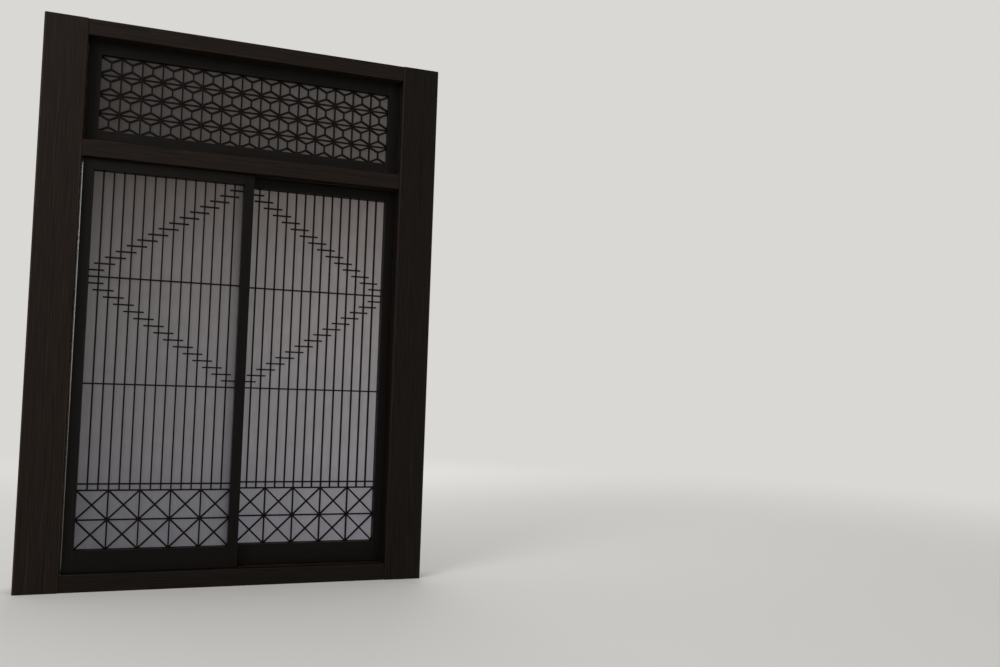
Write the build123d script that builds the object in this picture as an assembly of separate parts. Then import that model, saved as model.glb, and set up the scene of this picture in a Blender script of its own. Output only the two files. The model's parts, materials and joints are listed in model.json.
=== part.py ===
from build123d import *
import os

# A pair of sliding paper screens in their timber frame, with a fixed lattice transom above them.
# Lengths are in millimetres. X runs along the wall, Y away from the room and Z up.
# The origin is the middle of the frame's underside, at rest on the floor.

# Lattice of a sliding screen
bar_width = 4.0  # the face of every lattice bar
bar_depth = 9.0  # of an upright, from its room side to the paper
cross_depth = 6.0  # of a crossing piece, let into the backs of the uprights
bar_pitch = 25.7  # from one upright to the next
row_step = 17.64  # height from one short crossbar of the diamond to the next
plain_field = 279.5  # from the lower long crossbar down to the top bar of the band
double_gap = 16.6  # from the double bar down to the top bar of the band
diagonal_width = 4.4  # the face of a diagonal in the band

# Counts in a sliding screen
squares_across = 5
squares_down = 2
bays_per_square = 3

# Outer members of a sliding screen
stile_width = 26.0
top_rail_height = 26.5
bottom_rail_height = 57.0
screen_thickness = 30.0
tenon_thickness = 9.0
tenon_length = 22.0
tenon_shoulder = 6.0  # left above and below each tenon

# Paper, glued into a shallow recess at the back of its members
paper_thickness = 0.3
paper_lap = 8.0  # past the clear opening on every side
recess_depth = 1.0
recess_play = 1.0  # from the paper's edge to the wall of the recess

# Grooves and running clearances
groove_width = 21.0
ridge_width = 12.0  # between the two grooves
sill_groove_depth = 3.0
head_groove_depth = 15.0
tongue_play = 0.8  # each side of a screen's tongue
running_gap = 0.3  # under a screen, and beside it where it is shut
sill_shoulder_gap = 1.0  # from the sill up to the screen's shoulder
lift_play = 0.5  # spare height when a screen is lifted out of its groove
left_screen_ajar = 3.0  # the left screen stands this far from its post

# Frame
post_width = 105.0
post_depth = 105.0
post_chamfer = 3.0
sill_height = 45.0
middle_head_height = 42.0
top_head_height = 42.0
stub_length = 15.0  # of the tenons that hold the sill and the heads in the posts
stub_depth = 60.0
stub_shoulder = 2.0  # left above and below each of those tenons

# Transom
columns = 15
rows = 4
transom_stile_width = 31.4
transom_rail_height = 36.5  # as seen between the heads
transom_thickness = 20.0
transom_play = 0.5  # each side, in the grooves and beside the posts
transom_low_groove = 8.0
transom_high_groove = 18.0
transom_high_entry = 9.0  # how far the top rail stands in its groove
transom_bar_width = 4.2
transom_bar_depth = 9.0
leaf_width = 4.4
leaf_rise = 0.3  # share of a cell's height from its edge to where two leaves meet

# Worked out: a sliding screen
bays = squares_across * bays_per_square
middle_row = bays + 1  # row of the upper long crossbar, where the diamond is widest
lower_row = 2 * middle_row  # row of the lower long crossbar, under the diamond's tip
square = bays_per_square * bar_pitch
clear_width = bays * bar_pitch - bar_width
clear_height = lower_row * row_step + plain_field + squares_down * square - bar_width
screen_width = clear_width + 2 * stile_width
recess_margin = paper_lap + recess_play

# Worked out: heights in the frame
lift_room = sill_groove_depth + lift_play
screen_bottom = sill_height - sill_groove_depth + running_gap
low_shoulder = sill_height + sill_shoulder_gap
clear_bottom = low_shoulder + bottom_rail_height
clear_top = clear_bottom + clear_height
high_shoulder = clear_top + top_rail_height
head_bottom = high_shoulder + lift_room
screen_top = head_bottom + head_groove_depth - lift_room
head_top = head_bottom + middle_head_height

# Worked out: the frame across
opening_width = 2 * screen_width - stile_width
track_offset = (groove_width + ridge_width) / 2
member_depth = post_depth - 2 * post_chamfer
full_width = opening_width + 2 * post_width

# Worked out: the transom
transom_width = opening_width - 2 * transom_play
transom_clear_width = transom_width - 2 * transom_stile_width
cell = (transom_clear_width + transom_bar_width) / columns
transom_clear_height = rows * cell - transom_bar_width
transom_bottom = head_top - transom_low_groove
transom_clear_bottom = head_top + transom_rail_height
transom_clear_top = transom_clear_bottom + transom_clear_height
top_head_bottom = transom_clear_top + transom_rail_height
transom_top = top_head_bottom + transom_high_entry
full_height = top_head_bottom + top_head_height


def block(x, y, z):
    """A block between two values of x, two of y and two of z, each pair in either order."""
    low, high = zip(*(sorted(pair) for pair in (x, y, z)))
    sizes = [b - a for a, b in zip(low, high)]
    return Pos(*low) * Box(*sizes, align=(Align.MIN, Align.MIN, Align.MIN))


def prism_back(outline, back, depth):
    """An outline of (x, z) points, carried from its back face towards the room."""
    face = Plane.XZ * Polygon(*outline)
    return Pos(0, back, 0) * extrude(face, amount=depth, dir=(0, -1, 0))


def prism_across(outline, middle, width):
    """An outline of (y, z) points, carried along X about its middle."""
    face = Plane.YZ * Polygon(*outline)
    return Pos(middle - width / 2, 0, 0) * extrude(face, amount=width, dir=(1, 0, 0))


def comb(start, end, edge, floor, crossings, width):
    """The points of a straight edge with a square notch down to a floor at each crossing."""
    points = [(start, edge)]
    for at in sorted(crossings):
        low, high = at - width / 2, at + width / 2
        points += [(low, edge), (low, floor), (high, floor), (high, edge)]
    return points + [(end, edge)]


def upright(x, back, bottom, top, crossings, width, depth, notch):
    """A lattice upright, with a notch in its back for each bar that crosses it."""
    edge = comb(bottom, top, back, back - notch, crossings, width)
    outline = [(y, z) for z, y in edge] + [(back - depth, top), (back - depth, bottom)]
    return prism_across(outline, x, width)


def save(name, solids):
    """Writes one piece, or several alike, as one named part."""
    shape = solids if not isinstance(solids, list) else Compound(children=solids)
    export_step(shape, f"parts/{name}.step")


# The frame

def grooved_member(bottom, height, below=(), above=()):
    """A sill or head between the posts, with grooves as (middle y, depth) in its faces."""
    half = opening_width / 2
    top = bottom + height
    member = block((-half, half), (-member_depth / 2, member_depth / 2), (bottom, top))
    for faces, surface, inward in ((below, bottom, 1), (above, top, -1)):
        for y, depth in faces:
            sides = (y - groove_width / 2, y + groove_width / 2)
            member -= block((-half, half), sides, (surface, surface + inward * depth))
    return member


def stub_heights(bottom, height, below, above):
    """The bottom and top of a stub tenon, clear of a member's deepest grooves."""
    low = bottom + max([depth for _, depth in below], default=0) + stub_shoulder
    high = bottom + height - max([depth for _, depth in above], default=0) - stub_shoulder
    return low, high


def stub(side, heights):
    """A stub tenon at one end of a sill or head."""
    start = side * opening_width / 2
    return block((start, start + side * stub_length), (-stub_depth / 2, stub_depth / 2), heights)


def post(side, all_heights):
    """A chamfered post, with a mortise for each stub tenon."""
    inner = side * opening_width / 2
    outer = side * full_width / 2
    shape = block((inner, outer), (-post_depth / 2, post_depth / 2), (0, full_height))
    shape = chamfer(shape.edges().filter_by(Axis.Z), post_chamfer)
    for heights in all_heights:
        shape -= stub(side, heights)
    return shape


def build_frame():
    """The sill, both heads and both posts."""
    tracks = (-track_offset, track_offset)
    members = {
        "sill": (0, sill_height, (), [(y, sill_groove_depth) for y in tracks]),
        "middle_head": (
            head_bottom,
            middle_head_height,
            [(y, head_groove_depth) for y in tracks],
            [(0, transom_low_groove)],
        ),
        "top_head": (top_head_bottom, top_head_height, [(0, transom_high_groove)], ()),
    }
    all_heights = []
    for name, member in members.items():
        heights = stub_heights(*member)
        all_heights.append(heights)
        save(name, grooved_member(*member) + stub(-1, heights) + stub(1, heights))
    save("left_post", post(-1, all_heights))
    save("right_post", post(1, all_heights))


# Frames of the screens and the transom

def paper_recess(x, z, back):
    """The shallow recess for a sheet of paper behind a clear opening."""
    wide = (x[0] - recess_margin, x[1] + recess_margin)
    high = (z[0] - recess_margin, z[1] + recess_margin)
    return block(wide, (back - recess_depth, back), high)


def paper(x, z, back):
    """The sheet itself, on the floor of its recess."""
    wide = (x[0] - paper_lap, x[1] + paper_lap)
    high = (z[0] - paper_lap, z[1] + paper_lap)
    glued = back - recess_depth
    return block(wide, (glued, glued + paper_thickness), high)


def rail_tenon(edge, away, y, heights):
    """A tenon that enters the stile beside a clear opening's edge."""
    thickness = (y - tenon_thickness / 2, y + tenon_thickness / 2)
    return block((edge, edge + away * tenon_length), thickness, heights)


def screen_board(x, y, heights):
    """A member of a screen's frame: full thickness between its shoulders, thinner in a groove."""
    half = screen_thickness / 2
    tongue = groove_width / 2 - tongue_play
    low, high = max(heights[0], low_shoulder), min(heights[1], high_shoulder)
    return block(x, (y - half, y + half), (low, high)) + block(x, (y - tongue, y + tongue), heights)


def build_screen(name, outer, side, y):
    """One sliding screen. outer is its outer edge, and side points from there to the other."""

    def across(u):
        """The x of a point that lies u from the clear opening's outer edge."""
        return outer + side * (stile_width + u)

    back = y + screen_thickness / 2
    glued = back - recess_depth
    clear_x = tuple(sorted((across(0), across(clear_width))))
    clear_z = (clear_bottom, clear_top)
    recess = paper_recess(clear_x, clear_z, back)
    rails = {"bottom_rail": (screen_bottom, clear_bottom), "top_rail": (clear_top, screen_top)}
    stiles = {"outer_stile": (0, -side), "meeting_stile": (clear_width, side)}
    tenons = {
        "bottom_rail": (low_shoulder + tenon_shoulder, clear_bottom - tenon_shoulder),
        "top_rail": (clear_top + tenon_shoulder, high_shoulder - tenon_shoulder),
    }

    for rail, heights in rails.items():
        shape = screen_board(clear_x, y, heights) - recess
        for u, away in stiles.values():
            shape += rail_tenon(across(u), away, y, tenons[rail])
        save(f"{name}_{rail}", shape)
    for stile, (u, away) in stiles.items():
        edge = across(u)
        shape = screen_board((edge, edge + away * stile_width), y, (screen_bottom, screen_top))
        shape -= recess
        for heights in tenons.values():
            shape -= rail_tenon(edge, away, y, heights)
        save(f"{name}_{stile}", shape)
    save(f"{name}_paper", paper(clear_x, clear_z, back))
    build_lattice(name, across, glued)
    build_band(name, across, glued)


# The lattice of a sliding screen

def line(number):
    """Distance of a lattice line from the clear opening's outer edge; the stiles hide the end lines."""
    return number * bar_pitch - bar_width / 2


def row(number):
    """Height of a row of short crossbars; row 0 is hidden at the top rail's edge."""
    return clear_top + bar_width / 2 - number * row_step


band_top = row(lower_row) - plain_field
double_bar = band_top + double_gap
band_middle = [band_top - number * square for number in range(1, squares_down)]


def tick_rows(number):
    """The rows of the two short crossbars that start at one line: upper side, lower side."""
    return middle_row - 1 - number, middle_row + 1 + number


def crossings(number):
    """Heights at which the upright on one line is crossed above the band."""
    rows_here = [middle_row, lower_row]
    for start in (number - 1, number):
        rows_here += tick_rows(start)
    return [row(r) for r in rows_here] + [double_bar]


def crossbar(across, glued, start, end, z, width=bar_width):
    """A crossing piece of the lattice, flush with the backs of the uprights."""
    x = (across(max(start, 0)), across(min(end, clear_width)))
    return block(x, (glued - cross_depth, glued), (z - width / 2, z + width / 2))


def build_lattice(name, across, glued):
    """The uprights, the long crossbars and the short crossbars of the half diamond."""
    sizes = (bar_width, bar_depth, cross_depth)
    short_uprights = []
    for number in range(1, bays):
        x = across(line(number))
        if number % bays_per_square:
            bottom = band_top + bar_width / 2
            bar = upright(x, glued, bottom, clear_top, crossings(number), *sizes)
            short_uprights.append(bar)
        else:
            crossed = crossings(number) + [band_top] + band_middle
            bar = upright(x, glued, clear_bottom, clear_top, crossed, *sizes)
            save(f"{name}_long_upright_{number // bays_per_square}", bar)
    save(f"{name}_short_uprights", short_uprights)

    long_bars = {
        "upper_crossbar": row(middle_row),
        "lower_crossbar": row(lower_row),
        "double_bar": double_bar,
    }
    for bar, z in long_bars.items():
        save(f"{name}_{bar}", crossbar(across, glued, 0, clear_width, z))

    for place, which in (("upper", 0), ("lower", 1)):
        ticks = []
        for number in range(bays):
            start, end = line(number - 0.5), line(number + 1.5)
            ticks.append(crossbar(across, glued, start, end, row(tick_rows(number)[which])))
        save(f"{name}_{place}_ticks", ticks)


# The band of crossed squares at a screen's foot

def diagonal_outline(wide):
    """A diagonal of a square cell that falls from the start, pointed into both corners."""
    cut = diagonal_width / 2**0.5
    return [(0, wide), (cut, wide), (wide, cut), (wide, 0), (wide - cut, 0), (0, wide - cut)]


def crossed_pair(back_points, front_points, glued):
    """Two half-lapped diagonals; the first runs behind the second where they cross."""
    lap = cross_depth / 2
    behind = prism_back(back_points, glued, cross_depth)
    behind -= prism_back(front_points, glued - lap, cross_depth - lap)
    before = prism_back(front_points, glued, cross_depth)
    before -= prism_back(back_points, glued, lap)
    return behind, before


def build_band(name, across, glued):
    """The bars of the band and the diagonals of its squares."""
    save(f"{name}_band_top_bar", crossbar(across, glued, 0, clear_width, band_top))
    bars = [crossbar(across, glued, 0, clear_width, z) for z in band_middle]
    save(f"{name}_band_middle_bar", bars)

    inside = square - bar_width
    falling = diagonal_outline(inside)
    rising = [(inside - u, v) for u, v in falling]
    pairs = []
    for column in range(squares_across):
        start = line(column * bays_per_square) + bar_width / 2
        for down in range(squares_down):
            foot = clear_bottom + down * square
            placed = [
                [(across(start + u), foot + v) for u, v in outline] for outline in (falling, rising)
            ]
            pairs.append(crossed_pair(*placed, glued))
    for group, pieces in zip(("back", "front"), zip(*pairs)):
        save(f"{name}_{group}_diagonals", list(pieces))


# The transom

def build_transom_frame(clear_x, clear_z, back):
    """Two stiles and two rails, a plain board each, and the paper behind them."""
    half = transom_thickness / 2
    recess = paper_recess(clear_x, clear_z, back)
    rails = {
        "transom_bottom_rail": (transom_bottom, clear_z[0]),
        "transom_top_rail": (clear_z[1], transom_top),
    }
    tenons = {
        "transom_bottom_rail": (transom_bottom + tenon_shoulder, clear_z[0] - tenon_shoulder),
        "transom_top_rail": (clear_z[1] + tenon_shoulder, transom_top - tenon_shoulder),
    }
    for rail, heights in rails.items():
        shape = block(clear_x, (-half, half), heights) - recess
        for edge, away in zip(clear_x, (-1, 1)):
            shape += rail_tenon(edge, away, 0, tenons[rail])
        save(rail, shape)
    for stile, edge, away in (("left", clear_x[0], -1), ("right", clear_x[1], 1)):
        x = (edge, edge + away * transom_stile_width)
        shape = block(x, (-half, half), (transom_bottom, transom_top)) - recess
        for heights in tenons.values():
            shape -= rail_tenon(edge, away, 0, heights)
        save(f"transom_{stile}_stile", shape)
    save("transom_paper", paper(clear_x, clear_z, back))


def build_transom_bars(clear_x, clear_z, glued):
    """The uprights between the rails, and the crossbars let into their backs."""
    half = transom_bar_width / 2
    lines_x = [clear_x[0] - half + n * cell for n in range(1, columns)]
    lines_z = [clear_z[0] - half + n * cell for n in range(1, rows)]
    sizes = (transom_bar_width, transom_bar_depth, cross_depth)
    uprights = [upright(x, glued, *clear_z, lines_z, *sizes) for x in lines_x]
    save("transom_uprights", uprights)
    for number, z in enumerate(lines_z, 1):
        bar = block(clear_x, (glued - cross_depth, glued), (z - half, z + half))
        save(f"transom_crossbar_{number}", bar)


def leaf_outlines(inside):
    """One leaf, from a cell's lower left corner to the short upright, and that upright."""
    run = (inside - leaf_width) / 2
    thick = leaf_width * 1.15  # measured upright, across a leaf that slants by some 30 degrees
    rise = leaf_rise * cell - transom_bar_width / 2 - thick / 2
    leaf = [(0, 0), (run, rise), (run, rise + thick), (0, thick)]
    stem = [(run, rise), (run + leaf_width, rise), (run + leaf_width, inside - rise), (run, inside - rise)]
    return leaf, stem


def build_transom_cells(clear_x, clear_z, glued):
    """Four leaves and a short upright in every cell, the leaves grouped by row."""
    inside = cell - transom_bar_width
    leaf, stem = leaf_outlines(inside)
    turned = [leaf, [(inside - u, v) for u, v in leaf]]
    leaves = turned + [[(u, inside - v) for u, v in half] for half in turned]
    stems = []
    for level in range(rows):
        foot = clear_z[0] + level * cell
        pieces = []
        for column in range(columns):
            start = clear_x[0] + column * cell
            for outline in leaves:
                points = [(start + u, foot + v) for u, v in outline]
                pieces.append(prism_back(points, glued, transom_bar_depth))
            points = [(start + u, foot + v) for u, v in stem]
            stems.append(prism_back(points, glued, transom_bar_depth))
        save(f"transom_leaves_row_{level + 1}", pieces)
    save("transom_short_uprights", stems)


def build_transom():
    """The fixed lattice above the screens."""
    clear_x = (-transom_clear_width / 2, transom_clear_width / 2)
    clear_z = (transom_clear_bottom, transom_clear_top)
    back = transom_thickness / 2
    glued = back - recess_depth
    build_transom_frame(clear_x, clear_z, back)
    build_transom_bars(clear_x, clear_z, glued)
    build_transom_cells(clear_x, clear_z, glued)


os.makedirs("parts", exist_ok=True)
build_frame()
build_screen("left", -opening_width / 2 + left_screen_ajar, 1, -track_offset)
build_screen("right", opening_width / 2 - running_gap, -1, track_offset)
build_transom()
print("frame", round(full_width, 1), round(post_depth, 1), round(full_height, 1))
print("travel", round(opening_width - screen_width, 2), "cell", round(cell, 2))
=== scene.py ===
# %% [markdown]
# # A pair of sliding paper screens in their frame
# The object is a window of dark old wood: two screens that slide past each other in a grooved sill
# and head, and a fixed band of fine lattice above them, all backed with paper. The solids are loaded
# at their real size, and this script never moves them. The lesson gives them their looks: planed and
# chamfered wood with a grain that follows each stick, and paper that lets light through.

# %% Load the solids
import json
import math
import random

import bmesh
import bpy
from mathutils import Matrix, Vector

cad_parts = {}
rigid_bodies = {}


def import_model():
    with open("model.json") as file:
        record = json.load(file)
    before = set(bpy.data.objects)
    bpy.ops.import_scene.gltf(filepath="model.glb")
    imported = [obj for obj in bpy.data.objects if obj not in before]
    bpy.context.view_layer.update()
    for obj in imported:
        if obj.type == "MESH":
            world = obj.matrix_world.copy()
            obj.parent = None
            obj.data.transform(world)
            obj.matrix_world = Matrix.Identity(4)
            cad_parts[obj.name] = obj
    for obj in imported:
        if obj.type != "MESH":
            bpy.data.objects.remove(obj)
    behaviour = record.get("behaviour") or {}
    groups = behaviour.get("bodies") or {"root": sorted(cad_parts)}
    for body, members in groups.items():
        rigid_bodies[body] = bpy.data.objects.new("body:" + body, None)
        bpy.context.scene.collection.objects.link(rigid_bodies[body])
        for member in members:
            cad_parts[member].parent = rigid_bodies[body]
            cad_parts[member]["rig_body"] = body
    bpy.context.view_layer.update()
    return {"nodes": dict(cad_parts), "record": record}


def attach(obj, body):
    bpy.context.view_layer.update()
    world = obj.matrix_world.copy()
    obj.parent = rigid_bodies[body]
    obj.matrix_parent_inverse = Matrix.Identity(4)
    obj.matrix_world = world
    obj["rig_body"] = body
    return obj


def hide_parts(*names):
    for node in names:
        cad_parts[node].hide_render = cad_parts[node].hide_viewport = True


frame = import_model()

MM = 0.001
slot_of = {part["node"]: part["material_slot"] for part in frame["record"]["subparts"]}

# %% [markdown]
# ## The camera
# The viewpoint was worked out from the lines of the lattice in the picture: low, about as high as the
# knees, a little left of the middle, turned to the right, so that the lines of the window fall away
# to the right. A camera can be aimed with a Track To constraint, but a picture taken by hand also has
# a slight roll, so its three axes are built from angles here.

# %% Place the camera
VIEWPOINT = Vector((-206.24, -2733.96, 559.97)) * MM
TURN_RIGHT, TILT_UP, ROLL = 0.3649, 0.0479, -0.0327  # radians
FOCAL_PIXELS, IMAGE_WIDTH = 945.8, 1000
SENSOR_WIDTH = 36.0  # mm, the camera's long side
SHIFT = (-0.022, 0.009)  # shares of the width, which bring the whole window into the picture


def camera_axes(turn, tilt, roll):
    """The camera's right, up and backward axes after a turn about the vertical, a tilt and a roll."""
    ahead = Vector((math.sin(turn) * math.cos(tilt), math.cos(turn) * math.cos(tilt), math.sin(tilt)))
    right = Vector((math.cos(turn), -math.sin(turn), 0))
    up = right.cross(ahead)
    rolled_right = math.cos(roll) * right - math.sin(roll) * up
    rolled_up = math.sin(roll) * right + math.cos(roll) * up
    return rolled_right, rolled_up, -ahead


bpy.ops.object.select_all(action="DESELECT")
bpy.ops.object.camera_add()
camera = bpy.context.object
camera.data.sensor_width = SENSOR_WIDTH
camera.data.lens = FOCAL_PIXELS / IMAGE_WIDTH * SENSOR_WIDTH
camera.data.shift_x, camera.data.shift_y = SHIFT
turned = Matrix(camera_axes(TURN_RIGHT, TILT_UP, ROLL)).transposed().to_4x4()
camera.matrix_world = Matrix.Translation(VIEWPOINT) @ turned
bpy.context.scene.camera = camera
print("lens", round(camera.data.lens, 2), "mm")

# %% [markdown]
# ## Small helpers for materials
# A colour is written as it would be picked on a screen, in hex. Blender mixes light in linear values,
# so one function turns the hex into those. Another adds a node, sets its inputs and links it, which
# keeps a material's recipe short enough to read from top to bottom. The third begins a material,
# without the nodes that Blender puts into a new one.

# %% Colour and node helpers
def linear(hex_colour):
    """A hex colour as linear red, green, blue and alpha, by the sRGB curve."""
    channels = [int(hex_colour[i:i + 2], 16) / 255 for i in (1, 3, 5)]
    return [c / 12.92 if c <= 0.04045 else ((c + 0.055) / 1.055) ** 2.4 for c in channels] + [1.0]


def add_node(tree, kind, inputs=None, stops=(), **settings):
    """A new node. An input is a value, or another node's output, which is then linked.

    stops are the (place, hex colour) pairs of a colour ramp, in rising order.
    """
    node = tree.nodes.new(kind)
    for setting, value in settings.items():
        setattr(node, setting, value)
    for key, value in (inputs or {}).items():
        if isinstance(value, bpy.types.NodeSocket):
            tree.links.new(value, node.inputs[key])
        else:
            node.inputs[key].default_value = value
    if stops:
        marks = node.color_ramp.elements
        while len(marks) < len(stops):
            marks.new(0.5)
        for mark, (place, hex_colour) in zip(marks, stops):
            mark.position = place
            mark.color = linear(hex_colour)
    return node


def new_material(name):
    """An empty node material and its tree."""
    material = bpy.data.materials.new(name)
    material.use_nodes = True
    material.node_tree.nodes.clear()
    return material, material.node_tree


print("middle grey is", round(linear("#808080")[0], 3), "in linear values")

# %% [markdown]
# ## The floor that the window stands on
# A studio floor usually runs into a wall through a soft bend. This window is looked at from behind
# too, and a wall all round would stand between it and a camera that is further out. So the floor is a
# flat disc of matt pale paint that fades away towards its rim, and the pale world beyond it takes the
# place of the wall. The fade is a Transparent shader that is mixed in by the distance from the middle.

# %% Floor
FLOOR_RADIUS, FLOOR_CORNERS = 5.0, 128  # metres, and enough corners to look round
FADE_FROM, FADE_TO = 2.2, 4.85  # metres from the middle
PAINT_COLOUR, PAINT_ROUGHNESS, PAINT_SHEEN = "#e4e2de", 0.9, 0.1

bpy.ops.object.select_all(action="DESELECT")
bpy.ops.mesh.primitive_circle_add(vertices=FLOOR_CORNERS, radius=FLOOR_RADIUS, fill_type="NGON")
floor = bpy.context.object
floor.name = "studio_floor"

pale_paint, tree = new_material("matt_pale_paint")
place = add_node(tree, "ShaderNodeTexCoord").outputs["Object"]
distance = add_node(tree, "ShaderNodeVectorMath", {0: place}, operation="LENGTH")
fade = add_node(
    tree,
    "ShaderNodeMapRange",
    {"Value": distance.outputs["Value"], "From Min": FADE_FROM, "From Max": FADE_TO},
    interpolation_type="SMOOTHSTEP",
)
paint = add_node(
    tree,
    "ShaderNodeBsdfPrincipled",
    {
        "Base Color": linear(PAINT_COLOUR),
        "Roughness": PAINT_ROUGHNESS,
        "Specular IOR Level": PAINT_SHEEN,
    },
)
clear = add_node(tree, "ShaderNodeBsdfTransparent")
faded = add_node(
    tree, "ShaderNodeMixShader", {0: fade.outputs[0], 1: paint.outputs[0], 2: clear.outputs[0]}
)
add_node(tree, "ShaderNodeOutputMaterial", {"Surface": faded.outputs[0]})
floor.data.materials.append(pale_paint)
print("floor", FLOOR_RADIUS, "m in radius, fading from", FADE_FROM, "to", FADE_TO, "m")

# %% [markdown]
# ## Soft light from both sides
# The window is seen from the room, with daylight coming through its paper. A wide area lamp beyond
# the window makes the paper glow, and a smaller one on the room side, high on the left, shades the
# wood and draws its edges. A point or a sun lamp would throw hard shadows of every stick, so both
# lamps are large squares.

# %% Lamps
LAMPS_AIM = Vector((0, 0, 0.8))  # a little above the middle of the window
LAMPS = {  # each lamp's place and size in metres, and its power in watts
    "room_side_lamp": ((-2.4, -2.4, 2.6), 1.6, 48),
    "daylight_behind": ((0.9, 5.4, 2.4), 4.0, 105),
}


def soft_lamp(name, place, size, watts):
    """A large square lamp that faces the window."""
    bpy.ops.object.select_all(action="DESELECT")
    bpy.ops.object.light_add(type="AREA", location=place)
    lamp = bpy.context.object
    lamp.name = name
    lamp.data.shape = "SQUARE"
    lamp.data.size = size
    lamp.data.energy = watts
    lamp.visible_camera = False
    toward = LAMPS_AIM - Vector(place)
    lamp.rotation_euler = toward.to_track_quat("-Z", "Y").to_euler()


for name, (place, size, watts) in LAMPS.items():
    soft_lamp(name, place, size, watts)
print(len(LAMPS), "lamps of", " and ".join(str(watts) for _, _, watts in LAMPS.values()), "W")

# %% [markdown]
# ## White light and a pale backdrop
# A white world lights everything evenly. Seen directly it would be a dull grey at this level, and
# raising it would wash the paper out. So Light Path shows the camera a pale backdrop instead of the
# light, and glossy and clear surfaces see that backdrop too. The levels of the lamps and the world
# are kept so that a colour renders about as it is written.

# %% World
WORLD_LEVEL, BACKDROP_LEVEL = 0.58, 1.0
BACKDROP_COLOUR = "#dad8d5"

world = bpy.data.worlds.new("white_sky")
bpy.context.scene.world = world
world.use_nodes = True
tree = world.node_tree
tree.nodes.clear()
ray = add_node(tree, "ShaderNodeLightPath").outputs
looked_at = ray["Is Camera Ray"]
for kind_of_ray in ("Is Glossy Ray", "Is Transmission Ray"):
    looked_at = add_node(
        tree, "ShaderNodeMath", {0: looked_at, 1: ray[kind_of_ray]}, operation="MAXIMUM"
    ).outputs[0]
light = add_node(tree, "ShaderNodeBackground", {0: linear("#ffffff"), 1: WORLD_LEVEL})
backdrop = add_node(tree, "ShaderNodeBackground", {0: linear(BACKDROP_COLOUR), 1: BACKDROP_LEVEL})
sky = add_node(
    tree, "ShaderNodeMixShader", {0: looked_at, 1: light.outputs[0], 2: backdrop.outputs[0]}
)
add_node(tree, "ShaderNodeOutputWorld", {"Surface": sky.outputs[0]})
bpy.context.scene.view_settings.view_transform = "Standard"
print("world level", WORLD_LEVEL, "behind a backdrop of", BACKDROP_COLOUR)

# %% [markdown]
# ## Planed sticks with broken arrises
# A joiner planes each stick and then takes the sharp arris off with one light pass, because a knife
# edge splinters and hurts the hand. A solid that comes out of a modeller has perfectly sharp edges,
# which no light catches. The sticks could be modelled again one by one, but their form is right
# already, so each is copied, its loose triangles are merged into whole faces, and a Bevel modifier
# with one segment cuts the flat little chamfers. The size of the cut goes with the stick.

# %% Copy, merge and chamfer
CHAMFER = {"frame_timber": 0.8 * MM, "screen_frame": 0.6 * MM, "lattice_wood": 0.25 * MM}
MERGE_WITHIN = 0.005 * MM
FLAT_WITHIN = math.radians(0.2)
SHARP_OVER = math.radians(20)
FACE_FINISH, ARRIS_FINISH = 0, 1  # which of a piece's two materials its faces and its chamfers take


def merged_copy(node):
    """A copy of a solid as a new piece, with its triangles merged into whole faces."""
    bpy.ops.object.select_all(action="DESELECT")
    piece = bpy.data.objects.new(f"{node}_planed", frame["nodes"][node].data.copy())
    bpy.context.scene.collection.objects.link(piece)
    piece.select_set(True)
    bpy.context.view_layer.objects.active = piece
    bpy.ops.object.mode_set(mode="EDIT")
    bpy.ops.mesh.select_all(action="SELECT")
    bpy.ops.mesh.remove_doubles(threshold=MERGE_WITHIN)
    bpy.ops.mesh.dissolve_limited(angle_limit=FLAT_WITHIN)
    bpy.ops.object.mode_set(mode="OBJECT")
    return piece


def chamfer(piece, width):
    """Cuts a flat chamfer along every sharp edge, and keeps a place for both finishes."""
    piece.data.materials.clear()
    for _ in (FACE_FINISH, ARRIS_FINISH):
        piece.data.materials.append(None)
    cut = piece.modifiers.new("arris", "BEVEL")
    cut.width = width
    cut.segments = 1
    cut.limit_method = "ANGLE"
    cut.angle_limit = SHARP_OVER
    cut.material = ARRIS_FINISH
    bpy.ops.object.modifier_apply(modifier=cut.name)
    bpy.ops.object.shade_flat()


wooden = {}
for node, slot in sorted(slot_of.items()):
    if slot in CHAMFER:
        wooden[node] = merged_copy(node)
        chamfer(wooden[node], CHAMFER[slot])
print(len(wooden), "wooden pieces,", sum(len(p.data.polygons) for p in wooden.values()), "faces")

# %% [markdown]
# ## One stick at a time
# A piece of the window may hold many sticks, such as all the slanted leaves of the band, and each was
# cut from the wood by itself. Separate Loose Parts would make hundreds of objects of them. It is
# enough to know which points belong together, which a walk along the edges from point to point finds.

# %% Find the separate sticks
def sticks(mesh):
    """Lists of the point numbers that belong together, one list for each separate stick."""
    work = bmesh.new()
    work.from_mesh(mesh)
    work.verts.ensure_lookup_table()
    found, seen = [], set()
    for start in work.verts:
        if start.index in seen:
            continue
        seen.add(start.index)
        group, still_to_visit = [], [start]
        while still_to_visit:
            point = still_to_visit.pop()
            group.append(point.index)
            for link in point.link_edges:
                other = link.other_vert(point)
                if other.index not in seen:
                    seen.add(other.index)
                    still_to_visit.append(other)
        found.append(group)
    work.free()
    return found


print(sum(len(sticks(piece.data)) for piece in wooden.values()), "sticks")

# %% [markdown]
# ## Grain that runs along every stick
# Wood is cut with its grain along the stick, and a slanted leaf of the lattice has slanted grain. A
# pattern on plain Object coordinates would run one way through everything, as if the window were
# carved from one block. So each stick gets its own coordinates, kept as an attribute named grain:
# first along the stick, then across its face, then through its depth. The direction is the long axis
# of the stick's own points, found from how they spread. A random shift puts each stick at another
# place in the log, and a second attribute, tone, makes some a little darker than others.

# %% Coordinates along the grain
HEART_AWAY = (90, 160)  # mm from the stick to the heart of its log
HEART_LEAN = (-30, 30)  # degrees that the heart lies towards the front or the back
LOG_LENGTH = 8  # metres of log that a stick may have been cut from
dice = random.Random(7)


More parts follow.
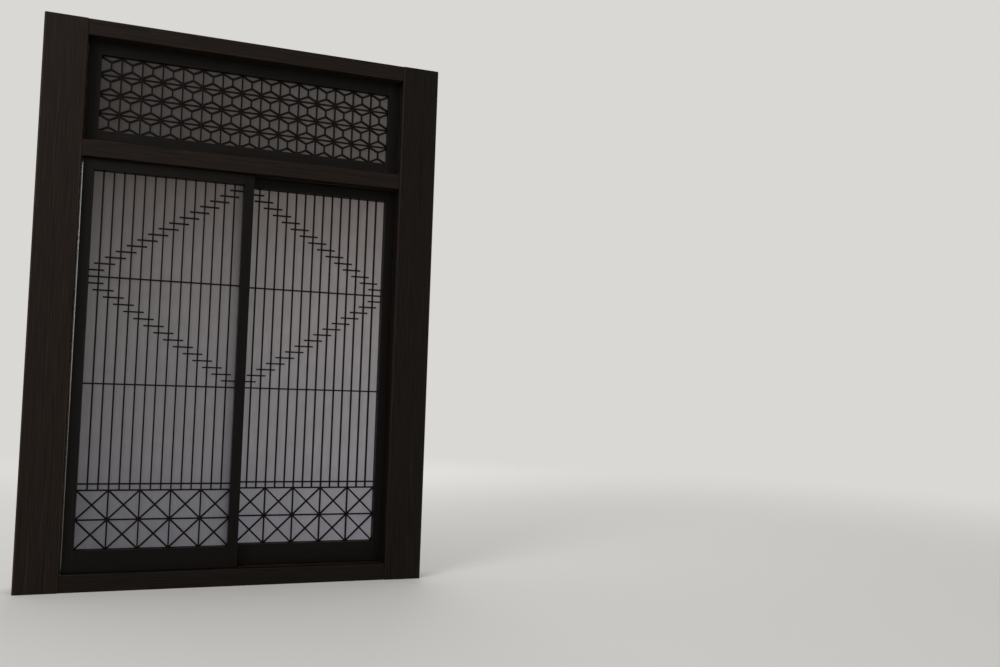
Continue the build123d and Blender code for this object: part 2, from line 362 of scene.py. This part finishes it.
def long_axis(points):
    """The middle of these points, and the way in the window's plane along which they spread most."""
    middle = sum(points, Vector()) / len(points)
    spread_x = sum((p.x - middle.x) ** 2 for p in points)
    spread_z = sum((p.z - middle.z) ** 2 for p in points)
    both = sum((p.x - middle.x) * (p.z - middle.z) for p in points)
    angle = 0.5 * math.atan2(2 * both, spread_x - spread_z)
    return middle, Vector((math.cos(angle), 0, math.sin(angle)))


def give_grain(mesh):
    """Writes the grain and tone attributes of a wooden piece."""
    grain = [0.0] * 3 * len(mesh.vertices)
    tone = [0.0] * len(mesh.vertices)
    for group in sticks(mesh):
        middle, along = long_axis([mesh.vertices[i].co for i in group])
        across = Vector((-along.z, 0, along.x))
        heart = dice.uniform(*HEART_AWAY) * MM
        lean = math.radians(dice.uniform(*HEART_LEAN))
        cut_at = dice.uniform(0, LOG_LENGTH)
        shift = Vector((cut_at, heart * math.cos(lean), heart * math.sin(lean)))
        shade = dice.random()
        for i in group:
            place = mesh.vertices[i].co - middle
            grain[3 * i:3 * i + 3] = shift + Vector((place @ along, place @ across, place.y))
            tone[i] = shade
    mesh.attributes.new("grain", "FLOAT_VECTOR", "POINT")
    mesh.attributes["grain"].data.foreach_set("vector", grain)
    mesh.attributes.new("tone", "FLOAT", "POINT")
    mesh.attributes["tone"].data.foreach_set("value", tone)


for piece in wooden.values():
    give_grain(piece.data)
print("grain and tone on", sum(len(p.data.vertices) for p in wooden.values()), "points")

# %% [markdown]
# ## Year rings
# Year rings are cylinders about the heart of the log. A Wave texture in bands would give the same
# stripes on every side of a stick. In rings about the stick's long direction it gives straight lines
# on one face and broad ones on the next, as a saw does. A slow noise bends them a little. A noise of
# scale 1 has spots about a metre wide, so a scale is one divided by the wanted length. Real rings are
# 1 to 3 mm apart, which would be lost in the picture, so most are drawn wider apart.

# %% Year rings
WAVE_PERIOD = math.pi / 10  # metres from ring to ring in a Wave texture of scale 1
RING_WANDER = 26 * MM  # rings stray from true circles by up to half of this
WANDER_LENGTH, WANDER_WIDTH = 400 * MM, 20 * MM  # the stretch in which they stray and come back
NOISE_MIDDLE = (0.5, 0.5, 0.5)


def year_rings(tree, grain, width):
    """Rings round the heart of the log, from 0 to 1 across the width of each."""
    wander_scale = (1 / WANDER_LENGTH, 1 / WANDER_WIDTH, 1 / WANDER_WIDTH)
    slow = add_node(tree, "ShaderNodeMapping", {0: grain, "Scale": wander_scale})
    drift = add_node(
        tree, "ShaderNodeTexNoise", {"Vector": slow.outputs[0], "Scale": 1.0, "Detail": 2.0}
    )
    centred = add_node(
        tree, "ShaderNodeVectorMath", {0: drift.outputs["Color"], 1: NOISE_MIDDLE}, operation="SUBTRACT"
    )
    bent = add_node(
        tree,
        "ShaderNodeVectorMath",
        {0: centred.outputs[0], 1: (0, RING_WANDER, RING_WANDER), 2: grain},
        operation="MULTIPLY_ADD",
    )
    return add_node(
        tree,
        "ShaderNodeTexWave",
        {"Vector": bent.outputs[0], "Scale": WAVE_PERIOD / width},
        wave_type="RINGS",
        rings_direction="X",
        wave_profile="SAW",
    ).outputs["Fac"]


print("rings stray by up to", round(RING_WANDER / 2 / MM), "mm")

# %% [markdown]
# ## Fibres
# Between the rings run the fibres. A Voronoi pattern looks like cells or stone. A fine noise that is
# drawn out along the stick looks like split and planed wood. Real fibres are finer than a hair, so
# these are drawn 2 mm wide to show in the picture.

# %% Fibres
FIBRE_LENGTH, FIBRE_WIDTH = 80 * MM, 2 * MM
FIBRE_SPAN = (0.28, 0.72)  # the part of the noise that is spread from dark to light
FIBRE_SHARE = 0.55  # how much of the figure is fibres, the rest is rings


def fine_fibres(tree, grain):
    """A fine noise that is drawn out along the stick."""
    fibre_scale = (1 / FIBRE_LENGTH, 1 / FIBRE_WIDTH, 1 / FIBRE_WIDTH)
    stretched = add_node(tree, "ShaderNodeMapping", {0: grain, "Scale": fibre_scale})
    return add_node(
        tree, "ShaderNodeTexNoise", {"Vector": stretched.outputs[0], "Scale": 1.0, "Detail": 4.0}
    ).outputs["Fac"]


def wood_figure(tree, rings, fibres):
    """Rings and fibres mixed, from 0 for dark to 1 for light."""
    least, most = FIBRE_SPAN
    lines = add_node(tree, "ShaderNodeMapRange", {"Value": fibres, "From Min": least, "From Max": most})
    return add_node(
        tree,
        "ShaderNodeMix",
        {"Factor": FIBRE_SHARE, 2: rings, 3: lines.outputs[0]},
        data_type="FLOAT",
    ).outputs[0]


print("fibres", FIBRE_WIDTH / MM, "mm wide and", FIBRE_LENGTH / MM, "mm long")

# %% [markdown]
# ## Smoked and oiled softwood
# The window is cypress and cedar that has darkened almost to black from hearth smoke and from being
# wiped with oil. Such wood keeps a soft, low sheen, and soot takes most of that. Two ways to colour it
# are a stain over the whole, which looks like paint, and a ramp from the dark to the light part of a
# ring, which is used here. Sticks differ a little, so each one's tone shifts its place on the ramp.

# %% Wood
TONE_SPAN = 0.35  # how far along the ramp the darkest and the lightest stick lie apart
ROUGH_SPREAD = 0.1  # how far the fibres move the roughness up and down
FIGURE_RELIEF = 0.5 * MM  # how far the light part of the figure stands proud at full relief
SHEEN = 0.1  # clean oiled wood has the shader's usual 0.5, and soot takes most of it


def smoked_wood(name, stops, ring_width, roughness, relief):
    """Dark softwood. stops are its colours from the dark to the light part of a ring."""
    material, tree = new_material(name)
    grain = add_node(tree, "ShaderNodeAttribute", attribute_name="grain").outputs["Vector"]
    tone = add_node(tree, "ShaderNodeAttribute", attribute_name="tone").outputs["Fac"]
    fibres = fine_fibres(tree, grain)
    figure = wood_figure(tree, year_rings(tree, grain, ring_width), fibres)
    toned = add_node(
        tree, "ShaderNodeMath", {0: tone, 1: TONE_SPAN, 2: figure}, operation="MULTIPLY_ADD"
    )
    shifted = add_node(
        tree, "ShaderNodeMath", {0: toned.outputs[0], 1: TONE_SPAN / 2}, operation="SUBTRACT"
    )
    colour = add_node(tree, "ShaderNodeValToRGB", {0: shifted.outputs[0]}, stops)
    rough = add_node(
        tree,
        "ShaderNodeMapRange",
        {"Value": fibres, "To Min": roughness - ROUGH_SPREAD, "To Max": roughness + ROUGH_SPREAD},
    )
    bump = add_node(
        tree, "ShaderNodeBump", {"Strength": relief, "Distance": FIGURE_RELIEF, "Height": figure}
    )
    wood = add_node(
        tree,
        "ShaderNodeBsdfPrincipled",
        {
            "Base Color": colour.outputs[0],
            "Roughness": rough.outputs[0],
            "Specular IOR Level": SHEEN,
            "Normal": bump.outputs[0],
        },
    )
    add_node(tree, "ShaderNodeOutputMaterial", {"Surface": wood.outputs[0]})
    return material


print("specular level", SHEEN, "in place of 0.5")

# %% [markdown]
# ## Four finishes of one kind of wood
# The timber of the frame is cypress and a little browner than the rest. The stiles and rails are cedar
# and nearly black. The lattice is split cedar, dull, with its rings close together. On the chamfered
# arrises the dark skin has rubbed through to browner wood, which the bevel's second material shows.
# One recipe with four sets of values keeps them related, as the real ones are.

# %% Wood finishes
cypress_timber = smoked_wood(
    "smoked_cypress_timber",
    [(0.0, "#080605"), (0.45, "#130e0b"), (1.0, "#251b14")],
    ring_width=6 * MM,
    roughness=0.5,
    relief=0.5,
)
cedar_frame = smoked_wood(
    "smoked_cedar_frame",
    [(0.0, "#060504"), (0.5, "#0c0a08"), (1.0, "#18120e")],
    ring_width=5 * MM,
    roughness=0.48,
    relief=0.4,
)
cedar_lattice = smoked_wood(
    "smoked_cedar_lattice",
    [(0.0, "#050404"), (0.5, "#0a0807"), (1.0, "#130f0d")],
    ring_width=2.5 * MM,
    roughness=0.6,
    relief=0.25,
)
worn_arris = smoked_wood(
    "worn_arris",
    [(0.0, "#140f0b"), (0.5, "#281d14"), (1.0, "#402f20")],
    ring_width=8 * MM,
    roughness=0.42,
    relief=0.2,
)
wood_of = {"frame_timber": cypress_timber, "screen_frame": cedar_frame, "lattice_wood": cedar_lattice}
print("wood finishes:", ", ".join(m.name for m in (*wood_of.values(), worn_arris)))

# %% [markdown]
# ## The body of handmade paper
# The paper is kozo, made from long mulberry fibres that are scooped up in a sieve. Against the light
# it shows clouds where the pulp lies thicker, and faint upright streaks where the sieve was dipped.
# Both could be one noise, but then they would be equally long and wide. Here two are mixed in the
# sheet's own coordinates, which slide along with it: one round, and one drawn out upwards. Where the
# pulp is thin the sheet is lighter, because more light comes through.

# %% Clouds and streaks in the pulp
CLOUD_SIZE = 40 * MM
STREAK_LENGTH, STREAK_WIDTH = 90 * MM, 3.3 * MM
STREAK_SHARE = 0.55  # how much of the pattern is streaks, the rest is clouds
PULP_SPAN = (0.3, 0.7)  # the part of the noise that is spread from thin to thick
PULP_SPREAD = 0.1  # how much lighter the thinnest and darker the thickest part is


def pulp_thickness(tree, place):
    """Clouds and streaks mixed, around 0.5."""
    clouds = add_node(
        tree, "ShaderNodeTexNoise", {"Vector": place, "Scale": 1 / CLOUD_SIZE, "Detail": 3.0}
    )
    streak_scale = (1 / STREAK_WIDTH, 1 / STREAK_WIDTH, 1 / STREAK_LENGTH)
    upright = add_node(tree, "ShaderNodeMapping", {0: place, "Scale": streak_scale})
    streaks = add_node(
        tree, "ShaderNodeTexNoise", {"Vector": upright.outputs[0], "Scale": 1.0, "Detail": 3.0}
    )
    return add_node(
        tree,
        "ShaderNodeMix",
        {"Factor": STREAK_SHARE, 2: clouds.outputs["Fac"], 3: streaks.outputs["Fac"]},
        data_type="FLOAT",
    ).outputs[0]


def pulp_factor(tree, thickness):
    """By how much the pulp's thickness changes the colour."""
    thin, thick = PULP_SPAN
    spread = {"To Min": 1 + PULP_SPREAD, "To Max": 1 - PULP_SPREAD}
    return add_node(
        tree,
        "ShaderNodeMapRange",
        {"Value": thickness, "From Min": thin, "From Max": thick, **spread},
    ).outputs[0]


print("clouds", CLOUD_SIZE / MM, "mm, streaks", round(STREAK_WIDTH / MM, 1), "mm wide")

# %% [markdown]
# ## Painted shade on the paper
# The sheets are painted dullest and warmest near the head, and darker from right to left. This is
# painted shade that stands in for light falling off. It could be painted by hand on the sheets. Here a
# ramp of colours does it by height and a plain factor from side to side, and their product with the
# pulp's factor is the colour.

# %% Painted shade by height and side
corners = [
    corner.co
    for node, slot in slot_of.items()
    if slot == "screen_paper"
    for corner in frame["nodes"][node].data.vertices
]
foot, head = min(c.z for c in corners), max(c.z for c in corners)
left_edge, right_edge = min(c.x for c in corners), max(c.x for c in corners)
# painted shade: the paper's colour is scaled by these factors, from the right edge down to the left one
LIT_SIDE_FACTOR, SHADED_SIDE_FACTOR = 1.0, 0.55  # factors at the right and the left edge


def painted_shade_colour(tree, place, stops, factor):
    """The paper's colour with painted shade. stops are its colours from the foot to the head of a
    screen.
    """
    parts = add_node(tree, "ShaderNodeSeparateXYZ", {0: place})
    climb = add_node(
        tree, "ShaderNodeMapRange", {"Value": parts.outputs["Z"], "From Min": foot, "From Max": head}
    )
    # painted shade from side to side: darker towards the left edge
    width = {"From Min": left_edge, "From Max": right_edge}
    sides = {"To Min": SHADED_SIDE_FACTOR, "To Max": LIT_SIDE_FACTOR}
    sideways = add_node(tree, "ShaderNodeMapRange", {"Value": parts.outputs["X"], **width, **sides})
    strength = add_node(
        tree, "ShaderNodeMath", {0: sideways.outputs[0], 1: factor}, operation="MULTIPLY"
    )
    # painted shade by height: the ramp makes the paper darker and warmer towards the head
    shade_by_height = add_node(tree, "ShaderNodeValToRGB", {0: climb.outputs[0]}, stops)
    return add_node(
        tree,
        "ShaderNodeVectorMath",
        {0: shade_by_height.outputs[0], "Scale": strength.outputs[0]},
        operation="SCALE",
    ).outputs[0]


print("paper from", round(foot, 3), "to", round(head, 3), "m, its left edge at", SHADED_SIDE_FACTOR)

# %% [markdown]
# ## Paper that lets light through
# Such paper both reflects light and lets it through, so a Principled shader for the lit side is mixed
# with a Translucent one for the light from behind. Transmission on the Principled shader is for glass,
# and would show sharp shapes behind the sheet. The sheet is a thin solid with two faces, and light
# that has come in through one may not be dimmed again by the other, so a face that is met from inside
# is Transparent. Unsized paper is rough and hardly shines.

# %% Paper
PAPER_ROUGHNESS, PAPER_SHEEN = 0.85, 0.2
PULP_RELIEF, RELIEF_STRENGTH = 0.3 * MM, 0.3


def kozo_paper(name, stops, light_through):
    """Old mulberry paper. light_through is the share of its light that comes from behind."""
    material, tree = new_material(name)
    place = add_node(tree, "ShaderNodeTexCoord").outputs["Object"]
    thickness = pulp_thickness(tree, place)
    colour = painted_shade_colour(tree, place, stops, pulp_factor(tree, thickness))
    relief = {"Strength": RELIEF_STRENGTH, "Distance": PULP_RELIEF, "Height": thickness}
    bump = add_node(tree, "ShaderNodeBump", relief).outputs[0]
    lit = add_node(
        tree,
        "ShaderNodeBsdfPrincipled",
        {
            "Base Color": colour,
            "Roughness": PAPER_ROUGHNESS,
            "Specular IOR Level": PAPER_SHEEN,
            "Normal": bump,
        },
    )
    through = add_node(tree, "ShaderNodeBsdfTranslucent", {"Color": colour, "Normal": bump})
    paper = add_node(
        tree, "ShaderNodeMixShader", {0: light_through, 1: lit.outputs[0], 2: through.outputs[0]}
    )
    inside = add_node(tree, "ShaderNodeNewGeometry").outputs["Backfacing"]
    clear = add_node(tree, "ShaderNodeBsdfTransparent")
    sheet = add_node(
        tree, "ShaderNodeMixShader", {0: inside, 1: paper.outputs[0], 2: clear.outputs[0]}
    )
    add_node(tree, "ShaderNodeOutputMaterial", {"Surface": sheet.outputs[0]})
    return material


print("pulp relief", PULP_RELIEF / MM, "mm at strength", RELIEF_STRENGTH)

# %% [markdown]
# ## Two papers
# The sheets of the screens go from a cool grey over the squares at the foot, through a neutral grey in
# the middle, to warm and dull at the head, and this ramp is painted shade. The sheet of the band above
# them has one darker tone and the same painted shade from side to side. They could share one material
# with a ramp that goes on upwards, but the band's paper also lets a little less light through, so each
# has its own.

# %% Paper finishes
# painted shade: the screens' ramp, darker and warmer towards the head
SCREEN_PAINTED_SHADE = [
    (0.0, "#87868d"),
    (0.14, "#89888e"),
    (0.25, "#8f8d91"),
    (0.6, "#8e8a8c"),
    (0.78, "#858181"),
    (0.92, "#777170"),
    (1.0, "#6d6765"),
]
# one flat tone for the band's paper, darker than the screens'
TRANSOM_TONE = [(0.0, "#5b5755"), (1.0, "#5b5755")]
paper_of = {
    "screen_paper": kozo_paper("kozo_paper_screens", SCREEN_PAINTED_SHADE, light_through=0.75),
    "transom_paper": kozo_paper("kozo_paper_transom", TRANSOM_TONE, light_through=0.7),
}
print("papers:", ", ".join(material.name for material in paper_of.values()))

# %% [markdown]
# ## Putting it together
# Every wooden piece takes its finish, stands for the solid it was copied from and rides on that
# solid's body, so it slides with its screen. The paper solids are right as they are, and only their
# material changes.

# %% Assign the finishes
for node, piece in wooden.items():
    piece.data.materials[FACE_FINISH] = wood_of[slot_of[node]]
    piece.data.materials[ARRIS_FINISH] = worn_arris
    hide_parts(node)
    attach(piece, frame["nodes"][node].get("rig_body"))

for node, slot in slot_of.items():
    if slot in paper_of:
        sheet = frame["nodes"][node]
        sheet.data.materials.clear()
        sheet.data.materials.append(paper_of[slot])
print(len(wooden), "pieces ride on their bodies")
